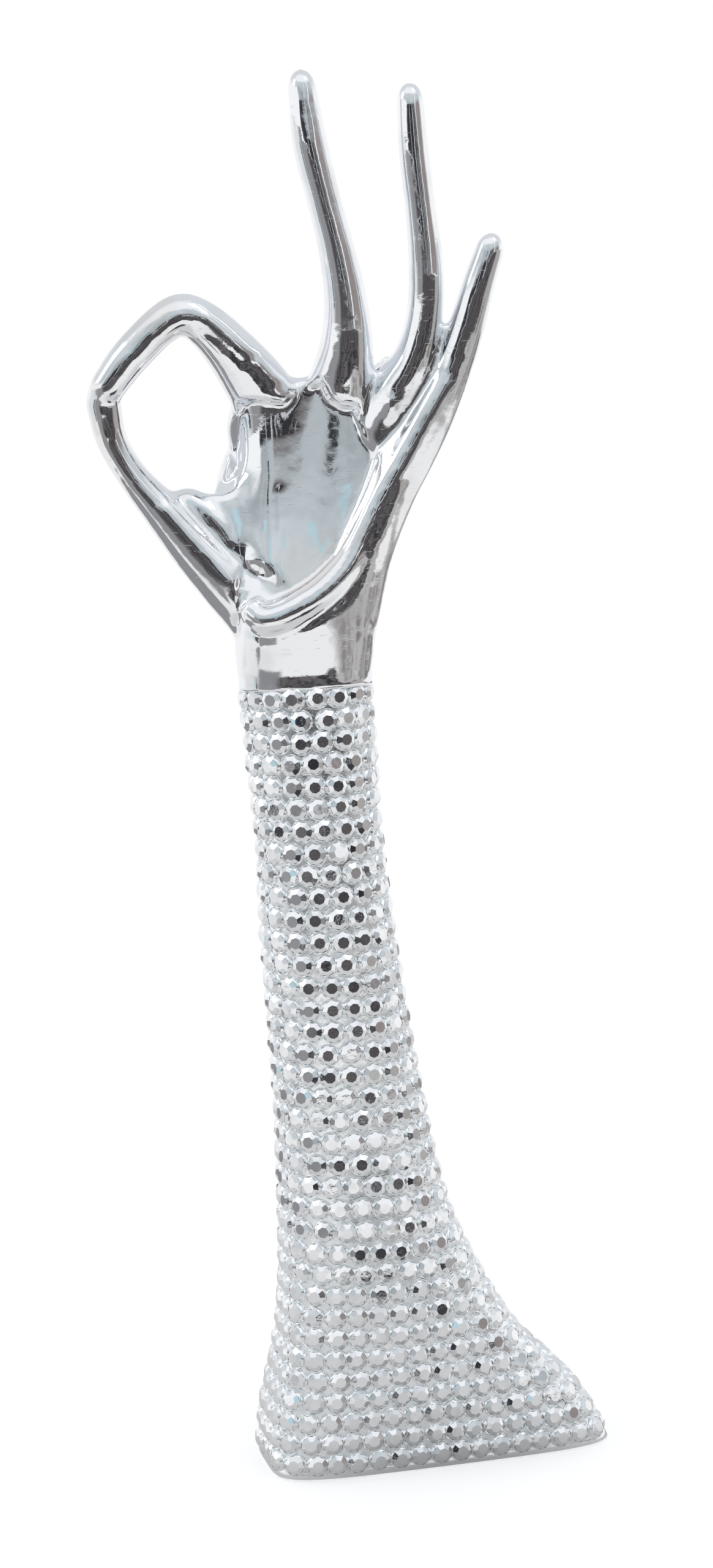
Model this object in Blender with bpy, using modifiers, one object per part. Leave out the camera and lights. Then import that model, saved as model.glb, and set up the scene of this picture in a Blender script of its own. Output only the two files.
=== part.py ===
"""Hand jewelry stand: one plated casting, a slender left hand on a studded sleeve.

Thumb and forefinger close to a ring, and the sleeve flares to a slim foot.
Sizes are in millimetres and become metres where a mesh is made.
Model frame: X along the foot's long side, -Y to the front, +Z up, origin in the middle
of the foot's underside. Hand frame: across, up and front as seen from the palm's side,
with its origin on the wrist's axis at the sleeve's top edge.
"""

import math

import bmesh
import bpy
from mathutils import Matrix, Vector

MM = 0.001

# Sleeve
SLEEVE_HEIGHT = 170.8
FOOT_WIDTH = 77.2
FOOT_DEPTH = 27.6
FOOT_SQUARENESS = 5.0
RIM_HEIGHT = 2.0
CUFF_WIDTH = 27.4
CUFF_DEPTH = 21.4
CUFF_OFFSET = -28.1
HAND_TURN = -17.0
OVAL = 2.0

# The sleeve between foot and cuff: height, offset, width, depth, squareness, turn
SLEEVE_SECTIONS = [
    (12.5, -3.3, 68.8, 27.2, 4.4, 0.0),
    (25.5, -8.2, 54.0, 26.8, 3.6, 0.0),
    (38.5, -11.7, 44.6, 26.4, 3.0, 0.0),
    (56.5, -15.9, 36.2, 26.0, 2.6, 0.0),
    (83.5, -19.5, 30.8, 25.2, 2.3, -4.0),
    (118.5, -23.7, 27.4, 23.8, 2.1, -9.0),
    (142.0, -25.7, 25.8, 22.4, 2.0, -13.0),
]

# Studs
STUD_PITCH = 4.75
STUD_RISE = 1.4
ROW_GAP = 0.7
ARC_STEPS = 360

# Hand
WRIST_SINK = 6.0
WRIST_NECK = 0.4
WRIST_FLARE = 0.4
PALM_SQUARENESS = 2.5
KNUCKLE_UP = 60.0
MIDDLE_REACH = 63.2
RING_REACH = 61.0
LITTLE_REACH = 31.2
PINCH_ACROSS = -41.0
PINCH_UP = 63.5
PINCH_FRONT = 5.5
FINGERTIP_REACH = 1.4
LIMB_SIDES = 20
LIMB_STEPS = 5
TIP_STEPS = 4
VOXEL = 1.0
SMOOTH_FACTOR = 0.5
SMOOTH_ROUNDS = 5
HAND_TRIANGLES = 4000

# Palm from the neck up: across, up, front, half width, half depth
PALM = [
    (-0.2, 8.0, 0.0, 14.4, 10.6),
    (0.2, 15.8, 0.0, 14.9, 10.3),
    (1.0, 23.5, -1.5, 15.6, 8.9),
    (0.4, 31.2, -3.2, 17.4, 7.2),
    (0.2, 38.8, -4.2, 19.2, 6.0),
    (3.0, 46.4, -4.4, 19.4, 5.8),
    (4.4, 54.0, -4.2, 20.2, 5.8),
    (1.2, KNUCKLE_UP - 1.0, -3.6, 18.6, 5.8),
    (1.0, KNUCKLE_UP + 1.6, -3.0, 11.0, 3.0),
]

# The heel's outer ridge, which runs into the little finger
LITTLE_FINGER = [
    (7.0, 8.0, 0.5, 6.4, 7.2),
    (9.3, 20.0, 1.0, 6.8, 7.2),
    (12.2, 31.2, 0.6, 6.5, 6.8),
    (16.6, 42.6, 0.3, 6.5, 6.2),
    (21.6, 51.0, -0.2, 5.9, 5.7),
    (25.6, KNUCKLE_UP - 2.2, -0.6, 5.2, 5.3),
    (30.0, KNUCKLE_UP + 6.8, -0.6, 4.3, 4.7),
    (33.4, KNUCKLE_UP + 16.5, 0.2, 3.8, 4.0),
    (35.8, KNUCKLE_UP + LITTLE_REACH - 6.2, 0.8, 3.4, 3.5),
    (37.8, KNUCKLE_UP + LITTLE_REACH, 1.0, 3.0, 3.0),
]

RING_FINGER = [
    (14.0, KNUCKLE_UP - 10.0, -2.6, 6.4, 6.0),
    (19.1, KNUCKLE_UP + 2.0, -1.6, 5.8, 6.0),
    (22.9, KNUCKLE_UP + 10.0, -0.8, 4.5, 5.2),
    (24.9, KNUCKLE_UP + 19.0, 0.2, 3.8, 4.4),
    (25.1, KNUCKLE_UP + 29.0, 0.8, 3.6, 3.8),
    (24.0, KNUCKLE_UP + RING_REACH - 21.0, 1.0, 3.2, 3.5),
    (22.7, KNUCKLE_UP + RING_REACH - 10.0, 1.2, 3.1, 3.2),
    (22.0, KNUCKLE_UP + RING_REACH, 1.2, 2.8, 2.9),
]

MIDDLE_FINGER = [
    (5.0, KNUCKLE_UP - 10.0, -2.8, 7.2, 6.4),
    (7.4, KNUCKLE_UP + 3.0, -1.8, 6.9, 6.6),
    (8.8, KNUCKLE_UP + 12.0, -0.8, 5.6, 6.0),
    (8.8, KNUCKLE_UP + 21.0, 0.2, 4.5, 5.0),
    (7.1, KNUCKLE_UP + 31.5, 0.8, 3.8, 4.3),
    (4.3, KNUCKLE_UP + MIDDLE_REACH - 20.7, 1.2, 3.5, 3.9),
    (1.8, KNUCKLE_UP + MIDDLE_REACH - 10.2, 1.4, 3.6, 3.7),
    (0.4, KNUCKLE_UP + MIDDLE_REACH, 1.3, 3.0, 3.2),
]

FOREFINGER = [
    (-2.0, KNUCKLE_UP - 8.0, -3.0, 7.2, 6.2),
    (-9.2, KNUCKLE_UP + 3.6, -1.2, 6.7, 6.4),
    (-15.7, KNUCKLE_UP + 12.4, 0.6, 5.3, 5.8),
    (-21.0, KNUCKLE_UP + 17.6, 2.4, 4.5, 5.0),
    (-25.0, KNUCKLE_UP + 18.8, 3.6, 4.3, 4.6),
    (-29.6, KNUCKLE_UP + 15.9, 4.6, 4.1, 4.4),
    (PINCH_ACROSS + 5.5, PINCH_UP + 6.3, PINCH_FRONT, 4.0, 4.2),
    (PINCH_ACROSS + 2.0, PINCH_UP + 1.6, PINCH_FRONT + 0.5, 3.7, 3.8),
]

THUMB = [
    (-4.0, 5.0, 0.4, 7.0, 7.6),
    (-9.0, 15.8, 1.0, 6.8, 7.5),
    (-15.8, 23.5, 1.4, 6.1, 6.9),
    (-22.8, 31.2, 1.8, 5.2, 6.1),
    (-29.1, 38.8, 2.4, 4.2, 5.2),
    (-34.9, 46.0, 3.2, 3.3, 4.4),
    (-39.0, PINCH_UP - 10.0, PINCH_FRONT - 1.4, 3.3, 3.9),
    (PINCH_ACROSS + 0.6, PINCH_UP - 3.0, PINCH_FRONT - 0.5, 3.6, 3.7),
]

# The skin between thumb and palm, at the ring's lower end
THUMB_WEB = [
    (-10.0, 26.0, -0.5, 7.0, 5.5),
    (-18.0, 35.0, 0.0, 6.8, 4.6),
    (-23.6, 38.6, 0.6, 4.6, 3.6),
]

# The roll round the palm's hollow, from the thumb under the heel to the little finger
ROLL = [
    (-11.4, 20.4, 9.6, 2.6, 2.6),
    (-8.6, 17.6, 10.6, 3.0, 3.0),
    (-4.4, 18.2, 10.8, 3.2, 3.2),
    (0.2, 20.6, 10.4, 3.2, 3.2),
    (4.6, 23.6, 9.4, 3.2, 3.2),
    (9.0, 28.4, 7.7, 3.1, 3.1),
    (12.0, 34.0, 6.2, 3.0, 3.0),
    (15.2, 40.5, 5.0, 3.0, 3.0),
    (19.0, 47.0, 4.3, 2.9, 2.9),
    (22.2, 52.8, 3.6, 2.8, 2.8),
]


def new_collection(name):
    collection = bpy.data.collections.new(name)
    bpy.context.scene.collection.children.link(collection)
    return collection


def new_object(name, mesh, collection):
    data = bpy.data.meshes.new(name)
    mesh.to_mesh(data)
    mesh.free()
    obj = bpy.data.objects.new(name, data)
    collection.objects.link(obj)
    return obj


def plated_silver():
    material = bpy.data.materials.new("plated_silver")
    material.use_nodes = True
    shader = material.node_tree.nodes["Principled BSDF"]
    shader.inputs["Base Color"].default_value = (0.82, 0.83, 0.85, 1.0)
    shader.inputs["Metallic"].default_value = 1.0
    shader.inputs["Roughness"].default_value = 0.1
    return material


def smooth_at(rows, key):
    """The row at this key, on a smooth curve through rows sorted by their first value."""
    last = len(rows) - 2
    k = min(max(sum(row[0] <= key for row in rows) - 1, 0), last)
    before, low, high, after = rows[max(k - 1, 0)], rows[k], rows[k + 1], rows[min(k + 2, last + 1)]
    span = high[0] - low[0]
    t = (key - low[0]) / span
    result = []
    for a, b, c, d in zip(before, low, high, after):
        start = (c - a) / (high[0] - before[0]) * span
        end = (d - b) / (after[0] - low[0]) * span
        smooth = t * t * (3 - 2 * t)
        result.append(b + (c - b) * smooth + start * t * (1 - t) ** 2 - end * t * t * (1 - t))
    return result


def power(value, exponent):
    return math.copysign(abs(value) ** exponent, value)


def oval_point(angle, half_width, half_depth, squareness):
    """A point of a superellipse, from the front's middle towards the right."""
    return (
        half_width * power(math.sin(angle), 2 / squareness),
        -half_depth * power(math.cos(angle), 2 / squareness),
    )


def sleeve_sections():
    foot = (0.0, 0.0, FOOT_WIDTH, FOOT_DEPTH, FOOT_SQUARENESS, 0.0)
    cuff = (SLEEVE_HEIGHT, CUFF_OFFSET, CUFF_WIDTH, CUFF_DEPTH, OVAL, HAND_TURN)
    return [foot, *SLEEVE_SECTIONS, cuff]


def outline_at(height):
    """The sleeve's outline at this height, as closely spaced points."""
    _, offset, width, depth, squareness, turn = smooth_at(sleeve_sections(), height)
    turned = Matrix.Rotation(math.radians(turn), 3, "Z")
    points = []
    for step in range(ARC_STEPS):
        x, y = oval_point(2 * math.pi * step / ARC_STEPS, width / 2, depth / 2, squareness)
        points.append(turned @ Vector((x, y, 0)) + Vector((offset, 0, height)))
    return points


def spaced_ring(mesh, height, shares):
    """Vertices round the sleeve at these shares of the way round."""
    points = outline_at(height)
    points.append(points[0])
    reach = [0.0]
    for a, b in zip(points, points[1:]):
        reach.append(reach[-1] + (b - a).length)
    ring = []
    k = 0
    for share in shares:
        target = share * reach[-1]
        while reach[k + 1] < target:
            k += 1
        t = (target - reach[k]) / (reach[k + 1] - reach[k])
        ring.append(mesh.verts.new(points[k].lerp(points[k + 1], t) * MM))
    return ring


def perimeter(height):
    points = outline_at(height)
    return sum((b - a).length for a, b in zip(points, points[1:] + points[:1]))


def band(mesh, lower, upper):
    """Four-sided faces between two rings of the same count."""
    count = len(lower)
    faces = []
    for j in range(count):
        k = (j + 1) % count
        faces.append(mesh.faces.new((lower[j], lower[k], upper[k], upper[j])))
    return faces


def zip_rings(mesh, lower, lower_shares, upper, upper_shares):
    """Triangles between two rings of unlike counts, which start near each other."""
    a, b = 0, 0
    while a < len(lower) or b < len(upper):
        next_a = lower_shares[a + 1] if a + 1 < len(lower) else lower_shares[0] + 1
        next_b = upper_shares[b + 1] if b + 1 < len(upper) else upper_shares[0] + 1
        if b == len(upper) or (a < len(lower) and next_a <= next_b):
            corners = (lower[a], lower[(a + 1) % len(lower)], upper[b % len(upper)])
            a += 1
        else:
            corners = (lower[a % len(lower)], upper[(b + 1) % len(upper)], upper[b])
            b += 1
        mesh.faces.new(corners)


def make_sleeve(collection):
    """The flared sleeve with a pointed stud in each cell, rows half a pitch out of step."""
    mesh = bmesh.new()
    rows = round((SLEEVE_HEIGHT - RIM_HEIGHT) / STUD_PITCH)
    row_height = (SLEEVE_HEIGHT - RIM_HEIGHT) / rows
    cells = []
    top, top_shares = None, None
    for row in range(rows):
        low = RIM_HEIGHT + row * row_height
        high = low + row_height - ROW_GAP
        count = round(perimeter((low + high) / 2) / STUD_PITCH)
        shares = [(j + 0.5 * (row % 2)) / count for j in range(count)]
        bottom = spaced_ring(mesh, low, shares)
        if row == 0:
            floor = spaced_ring(mesh, 0.0, shares)
            mesh.faces.new(reversed(floor))
            band(mesh, floor, bottom)
        else:
            zip_rings(mesh, top, top_shares, bottom, shares)
        top, top_shares = spaced_ring(mesh, high, shares), shares
        cells += band(mesh, bottom, top)
    cuff = spaced_ring(mesh, SLEEVE_HEIGHT, top_shares)
    band(mesh, top, cuff)
    mesh.faces.new(cuff)
    mesh.normal_update()
    bmesh.ops.poke(mesh, faces=cells, offset=STUD_RISE * MM)
    return new_object("jewelry_hand", mesh, collection)


def limb(mesh, rows, squareness=OVAL):
    """A rounded tube through the rows, flat-ended at its root and round at its tip."""
    stations = [(k, *row) for k, row in enumerate(rows)]
    count = (len(rows) - 1) * LIMB_STEPS
    path = [smooth_at(stations, k / LIMB_STEPS)[1:] for k in range(count + 1)]
    centres = [Vector(row[:3]) for row in path]
    rings = []
    for k, (centre, row) in enumerate(zip(centres, path)):
        along = centres[min(k + 1, count)] - centres[max(k - 1, 0)]
        rings.append((centre, along.normalized(), row[3], row[4]))
    centre, along, half_width, half_depth = rings[-1]
    reach = FINGERTIP_REACH * half_depth
    for k in range(1, TIP_STEPS + 1):
        angle = 0.5 * math.pi * k / (TIP_STEPS + 1)
        size = math.cos(angle)
        place = centre + along * reach * math.sin(angle)
        rings.append((place, along, half_width * size, half_depth * size))
    loops = []
    for place, along, half_width, half_depth in rings:
        side = Vector((along.y, -along.x, 0)).normalized()
        front = side.cross(along)
        loop = []
        for step in range(LIMB_SIDES):
            angle = 2 * math.pi * step / LIMB_SIDES
            right, back = oval_point(angle, half_width, half_depth, squareness)
            loop.append(mesh.verts.new(place + side * right - front * back))
        loops.append(loop)
    for lower, upper in zip(loops, loops[1:]):
        band(mesh, lower, upper)
    mesh.faces.new(reversed(loops[0]))
    mesh.faces.new(loops[-1])


def wrist():
    """The palm's first rows, narrow inside the cuff and just over its edge above it."""
    half_width, half_depth = CUFF_WIDTH / 2, CUFF_DEPTH / 2
    return [
        (0.0, -WRIST_SINK, 0.0, half_width - WRIST_SINK / 2, half_depth - WRIST_SINK / 2),
        (0.0, 0.0, 0.0, half_width - WRIST_NECK, half_depth - WRIST_NECK),
        (0.0, 3.0, 0.0, half_width + WRIST_FLARE, half_depth + WRIST_FLARE),
    ]


def make_hand(collection):
    """The limbs melted into one smooth body, placed on the cuff and turned to the front."""
    mesh = bmesh.new()
    limb(mesh, wrist() + PALM, PALM_SQUARENESS)
    for rows in (LITTLE_FINGER, RING_FINGER, MIDDLE_FINGER, FOREFINGER, THUMB, THUMB_WEB, ROLL):
        limb(mesh, rows)
    across_up_front = Matrix(((1, 0, 0, 0), (0, 0, -1, 0), (0, 1, 0, 0), (0, 0, 0, 1)))
    turned = Matrix.Rotation(math.radians(HAND_TURN), 4, "Z")
    placed = Matrix.Translation((CUFF_OFFSET, 0, SLEEVE_HEIGHT))
    mesh.transform(Matrix.Scale(MM, 4) @ placed @ turned @ across_up_front)
    bmesh.ops.recalc_face_normals(mesh, faces=mesh.faces)
    hand = new_object("hand_form", mesh, collection)
    melt = hand.modifiers.new("melt", "REMESH")
    melt.mode = "VOXEL"
    melt.voxel_size = VOXEL * MM
    smooth = hand.modifiers.new("smooth", "SMOOTH")
    smooth.factor = SMOOTH_FACTOR
    smooth.iterations = round(SMOOTH_ROUNDS)
    bpy.context.view_layer.update()
    melted = hand.evaluated_get(bpy.context.evaluated_depsgraph_get()).data
    triangles = sum(len(face.vertices) - 2 for face in melted.polygons)
    thin = hand.modifiers.new("thin", "DECIMATE")
    thin.ratio = min(1.0, HAND_TRIANGLES / triangles)
    hand.hide_render = True
    hand.display_type = "WIRE"
    return hand


def main():
    for obj in list(bpy.data.objects):
        bpy.data.objects.remove(obj)
    parts = new_collection("hand_jewelry_stand")
    forms = new_collection("forms_joined_in")
    stand = make_sleeve(parts)
    join = stand.modifiers.new("join hand", "BOOLEAN")
    join.operation = "UNION"
    join.solver = "EXACT"
    join.object = make_hand(forms)
    stand.data.materials.append(plated_silver())


main()
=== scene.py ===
"""Hand jewelry stand: the fine form and the finish of one plated casting.

Laid out as a Blender add-on and run as a script. The hand is melted from lofted limbs,
pressed with its palm's hollow and folds, and plated like a mirror. The sleeve's satin
ground carries rows of faceted studs, made by geometry nodes. Tables are in millimetres:
hand points are across, up and front as seen from the palm's side, from the wrist's axis.
"""

import math

import bmesh
import bpy
import numpy as np
from bpy.props import FloatProperty, FloatVectorProperty, IntProperty, PointerProperty
from mathutils import Matrix, Vector


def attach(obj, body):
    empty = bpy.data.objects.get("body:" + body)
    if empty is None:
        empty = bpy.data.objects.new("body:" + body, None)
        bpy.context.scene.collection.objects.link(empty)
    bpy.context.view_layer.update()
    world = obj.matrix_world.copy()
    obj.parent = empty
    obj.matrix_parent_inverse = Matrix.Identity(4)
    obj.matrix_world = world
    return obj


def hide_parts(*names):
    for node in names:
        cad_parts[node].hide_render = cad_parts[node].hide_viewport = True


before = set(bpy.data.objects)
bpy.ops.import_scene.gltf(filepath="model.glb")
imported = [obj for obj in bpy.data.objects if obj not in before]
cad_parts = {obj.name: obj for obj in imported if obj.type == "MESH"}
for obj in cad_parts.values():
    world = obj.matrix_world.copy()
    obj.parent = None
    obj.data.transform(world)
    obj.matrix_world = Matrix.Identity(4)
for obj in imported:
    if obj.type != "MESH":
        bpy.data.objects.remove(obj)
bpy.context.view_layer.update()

CAD_NODE = "jewelry_hand"
BODY = "root"
MM = 0.001

bl_info = {
    "name": "Hand Jewelry Stand",
    "version": (1, 0, 0),
    "blender": (4, 5, 0),
    "location": "3D View > Sidebar > Stand",
    "description": "Builds a plated hand on a studded sleeve",
    "category": "Add Mesh",
}

# The sleeve between foot and cuff: height, offset, width, depth, squareness, turn
SLEEVE_SECTIONS = [
    (12.5, -3.3, 68.8, 27.2, 4.4, 0.0),
    (25.5, -8.2, 54.0, 26.8, 3.6, 0.0),
    (38.5, -11.7, 44.6, 26.4, 3.0, 0.0),
    (56.5, -15.9, 36.2, 26.0, 2.6, 0.0),
    (83.5, -19.5, 30.8, 25.2, 2.3, -4.0),
    (118.5, -23.7, 27.4, 23.8, 2.1, -9.0),
    (142.0, -25.7, 25.8, 22.4, 2.0, -13.0),
]
# The ground lies this far inside those sections; near the cuff the rows rise to front and right
INSET_HEIGHTS = (0.0, 20.0, 120.0, 170.8)
INSETS = (0.3, 0.4, 0.5, 0.75)
LEAN_HEIGHTS = (0.0, 70.0, 110.0, 150.0, 170.8)
LEANS_FRONT = (0.0, 0.0, 0.01, 0.04, 0.10)
LEANS_RIGHT = (0.0, 0.0, 0.04, 0.07, 0.05)
CUFF_RISE = 1.5
# Points round an outline while it is spaced evenly, and round one whose length is measured
OUTLINE_POINTS = 1440
MEASURE_POINTS = 720
# How far the studs' tables look up from the wall, by height
STUD_LEAN_HEIGHTS = (42.0, 60.0, 100.0, 150.0, 171.0)
STUD_LEANS = (0.0, 0.10, 0.085, 0.06, 0.04)
# Rows of studs: the row's number, counted from the foot, and its height
ROWS = [(0, 3.8), (5, 27.1), (10, 51.0), (15, 75.8), (20, 100.3), (25, 124.4), (30, 148.1), (35, 170.7)]
OVAL = 2.0
FOOT_SQUARENESS = 5.0
PALM_SQUARENESS = 2.5

# Limbs of the hand: across, up, front, half width, half depth
KNUCKLE = 60.0
PALM = [
    (0.0, -6.0, 0.0, 10.7, 7.7),
    (0.0, 0.0, 0.0, 13.9, 10.8),
    (0.0, 3.0, 0.0, 13.9, 10.8),
    (-0.2, 8.0, 0.1, 14.4, 10.8),
    (0.2, 15.8, 0.2, 14.9, 10.4),
    (1.0, 23.5, -1.5, 15.6, 8.9),
    (0.4, 31.2, -3.2, 17.4, 7.2),
    (0.2, 38.8, -4.2, 19.2, 6.0),
    (3.0, 46.4, -4.4, 19.4, 5.8),
    (4.4, 54.0, -4.2, 20.2, 5.8),
    (1.2, KNUCKLE - 1.0, -3.6, 18.6, 5.8),
    (1.0, KNUCKLE + 1.6, -3.0, 11.0, 3.0),
]
LITTLE_FINGER = [
    (7.0, 8.0, 0.5, 6.4, 7.2),
    (9.3, 20.0, 1.0, 6.8, 7.2),
    (12.2, 31.2, 0.6, 6.5, 6.8),
    (16.6, 42.6, 0.3, 6.5, 6.2),
    (21.6, 51.0, -0.2, 5.9, 5.7),
    (25.6, KNUCKLE - 2.2, -0.6, 5.2, 5.3),
    (30.0, KNUCKLE + 6.8, -0.6, 4.3, 4.7),
    (33.4, KNUCKLE + 16.5, 0.2, 3.8, 4.0),
    (35.8, KNUCKLE + 25.0, 0.8, 3.4, 3.5),
    (37.8, KNUCKLE + 31.2, 1.0, 3.0, 3.0),
]
RING_FINGER = [
    (14.0, KNUCKLE - 10.0, -2.8, 6.4, 5.2),
    (19.1, KNUCKLE + 2.0, -1.6, 5.8, 5.4),
    (22.9, KNUCKLE + 10.0, -0.8, 4.5, 5.2),
    (24.9, KNUCKLE + 19.0, 0.2, 3.8, 4.4),
    (25.1, KNUCKLE + 29.0, 0.8, 3.6, 3.8),
    (24.0, KNUCKLE + 40.0, 1.0, 3.2, 3.5),
    (22.7, KNUCKLE + 51.0, 1.2, 3.1, 3.2),
    (22.0, KNUCKLE + 61.0, 1.2, 2.8, 2.9),
]
MIDDLE_FINGER = [
    (5.0, KNUCKLE - 10.0, -2.9, 7.2, 5.5),
    (7.4, KNUCKLE + 3.0, -1.7, 6.9, 6.0),
    (8.8, KNUCKLE + 12.0, -0.8, 5.6, 6.0),
    (8.8, KNUCKLE + 21.0, 0.2, 4.5, 5.0),
    (7.1, KNUCKLE + 31.5, 0.8, 3.8, 4.3),
    (4.3, KNUCKLE + 42.5, 1.2, 3.5, 3.9),
    (1.8, KNUCKLE + 53.0, 1.4, 3.6, 3.7),
    (0.4, KNUCKLE + 63.2, 1.3, 3.0, 3.2),
]
FOREFINGER = [
    (-2.0, KNUCKLE - 8.0, -3.3, 7.2, 5.1),
    (-9.2, KNUCKLE + 3.6, -1.5, 6.7, 5.3),
    (-15.7, KNUCKLE + 12.4, 0.6, 5.3, 5.8),
    (-21.0, KNUCKLE + 17.6, 2.4, 4.5, 5.0),
    (-25.0, KNUCKLE + 18.8, 3.6, 4.3, 4.6),
    (-29.6, KNUCKLE + 15.9, 4.6, 4.1, 4.4),
    (-35.5, 69.8, 5.5, 4.0, 4.2),
    (-39.0, 65.1, 6.0, 3.7, 3.8),
]
THUMB = [
    (-4.0, 5.0, 0.4, 7.0, 7.6),
    (-9.0, 15.8, 1.0, 6.8, 7.5),
    (-15.8, 23.5, 1.4, 6.1, 6.9),
    (-22.8, 31.2, 1.8, 5.2, 6.1),
    (-29.1, 38.8, 2.4, 4.2, 5.2),
    (-34.9, 46.0, 3.2, 3.3, 4.4),
    (-39.0, 53.5, 4.1, 3.3, 3.9),
    (-40.4, 60.5, 5.0, 3.6, 3.7),
]
THUMB_WEB = [
    (-10.0, 26.0, -0.5, 7.0, 5.5),
    (-18.0, 35.0, 0.0, 6.8, 4.6),
    (-23.6, 38.6, 0.6, 4.6, 3.6),
]
# The roll round the palm: its crest's place across, up and front, and the roll's radius
ROLL = [
    (-11.4, 20.4, 12.2, 2.6),
    (-8.6, 17.6, 13.6, 3.0),
    (-4.4, 18.2, 14.0, 3.2),
    (0.2, 20.6, 13.6, 3.2),
    (4.6, 23.6, 12.6, 3.2),
    (9.0, 28.4, 10.8, 3.1),
    (12.0, 34.0, 9.2, 3.0),
    (15.2, 40.5, 8.0, 3.0),
    (19.0, 47.0, 7.2, 2.9),
    (22.2, 52.8, 6.4, 2.8),
    (25.6, 59.0, 5.6, 2.7),
    (29.0, 65.0, 4.6, 2.5),
]
# The wrist's front, and how far its right and left edges are at a height
WRIST_FRONT = 10.8
WRIST_EDGES = [
    (3.0, 13.9, 13.9), (16.0, 15.2, 14.9), (23.5, 16.6, 15.2),
    (31.0, 18.7, 16.0), (39.0, 22.0, 17.0), (46.0, 25.5, 18.0),
]
# Its swell up to that roll: where it starts, how late it rises, and its outline
SWELL_START = 4.8
SWELL_BEND = 1.4
SWELL = [
    (-13.6, 3.6), (-14.2, 14.0), (-12.6, 19.4), (-8.6, 16.6), (-4.4, 17.2), (0.2, 19.6),
    (4.6, 22.6), (9.0, 27.4), (12.0, 33.0), (15.2, 39.5), (19.0, 46.0), (22.0, 45.0),
    (19.0, 34.0), (15.6, 20.0), (13.6, 3.6),
]

# Ridges and creases on the palm's side: points across and up, half width, and rise
FOLDS = [
    ([(-13.2, 15.5), (-13.1, 20.0), (-13.0, 24.0)], 0.8, -0.9),
    ([(-13.0, 24.0), (-12.2, 26.5)], 0.9, -0.5),
    ([(-14.5, 24.8), (-18.0, 29.3), (-22.5, 34.0), (-27.5, 40.0)], 1.4, 0.5),
    ([(-12.8, 28.0), (-14.2, 31.6), (-16.6, 35.8), (-20.0, 39.6), (-24.5, 42.6)], 0.9, 0.4),
    ([(-10.8, 28.6), (-11.0, 26.6)], 1.1, 0.6),
    ([(-5.0, 43.0), (-4.8, 36.0), (-5.1, 31.0), (-6.3, 26.0)], 0.8, -0.2),
    ([(-21.0, 77.0), (-16.0, 72.8), (-12.0, 69.0)], 0.7, -0.4),
    ([(-19.0, 79.0), (-15.0, 75.4), (-10.4, 71.6)], 0.9, 0.4),
    ([(-8.6, 69.4), (-5.6, 65.8)], 0.9, 0.4),
    ([(18.0, 61.5), (17.8, 58.8)], 1.1, 0.5),
]
# The palm's hollow: its outline across and up, and its front by row (up) and column (across)
PALM_INSIDE = [
    (-6.0, 22.6), (-2.6, 22.2), (1.2, 23.8), (4.2, 26.4), (7.2, 29.6), (9.9, 34.0),
    (12.4, 38.8), (14.5, 43.8), (16.2, 49.6), (14.6, 52.8), (13.0, 55.0), (12.0, 58.6),
    (11.4, 60.8), (8.0, 61.1), (6.2, 62.2), (4.8, 65.0), (3.6, 65.9), (0.0, 64.2),
    (-4.2, 61.6), (-9.5, 62.4), (-13.6, 61.6), (-15.4, 55.0), (-15.4, 47.0), (-16.0, 44.6),
    (-20.0, 43.4), (-24.0, 42.3), (-20.0, 39.4), (-16.8, 35.7), (-14.4, 31.6), (-12.6, 28.0),
    (-10.4, 25.4),
]
PALM_ACROSS = (-24.0, -16.5, -12.6, -9.8, -7.2, -4.2, -1.5, 3.0, 8.0, 12.5, 17.0)
PALM_FRONT = [
    (22.0, (5.2, 6.6, 7.8, 9.0, 9.6, 9.7, 9.6, 9.5, 9.4, 9.4, 9.4)),
    (26.0, (4.8, 6.0, 6.8, 7.7, 8.3, 8.0, 7.6, 7.4, 7.4, 7.5, 7.6)),
    (30.0, (4.4, 5.2, 5.7, 6.3, 6.9, 6.6, 6.1, 5.8, 5.8, 6.1, 6.4)),
    (36.0, (3.8, 4.0, 4.2, 4.7, 5.3, 4.8, 4.2, 3.9, 4.2, 4.7, 5.2)),
    (42.0, (2.8, 2.4, 2.9, 3.6, 4.2, 3.6, 2.9, 2.7, 2.8, 3.5, 4.2)),
    (48.0, (-8.0, -4.4, 0.5, 2.6, 3.3, 2.6, 1.9, 1.6, 1.7, 2.3, 3.1)),
    (54.0, (-8.0, -4.6, -0.1, 1.9, 2.5, 1.7, 1.0, 0.6, 0.7, 1.3, 2.1)),
    (60.0, (-7.0, -4.0, 0.1, 1.8, 2.2, 1.4, 0.4, -0.3, -0.2, 0.3, 1.1)),
    (66.0, (-4.0, -2.0, 0.8, 1.9, 2.0, 1.0, -0.3, -1.1, -1.0, -0.6, 0.2)),
]
SHEET_STEP = 0.25
SHEET_BLUR = 1.4
BLUR_REACH = 12
# How soon the wall drops at the outline, by the place across, and its share of that by height
WALL_PLACES = (-14.0, -8.0, 0.0)
WALL_WIDTHS = (1.4, 1.4, 1.2)
WALL_HEIGHTS = (26.0, 34.0, 54.0, 60.0)
WALL_SHARES = (1.9, 1.1, 1.0, 0.75)
# Fronts between which a pressed surface takes over, so that the hand's back stays
BACK, FRONT = -7.0, -4.0
# A fold is pressed in full where the skin's normal faces the front by one part in this
FULL_PRESS = 1.6
# What the wrist keeps of its girth below the cuff's edge
TUCKED = 0.86


def settings():
    return bpy.context.scene.jewelry_stand


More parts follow.
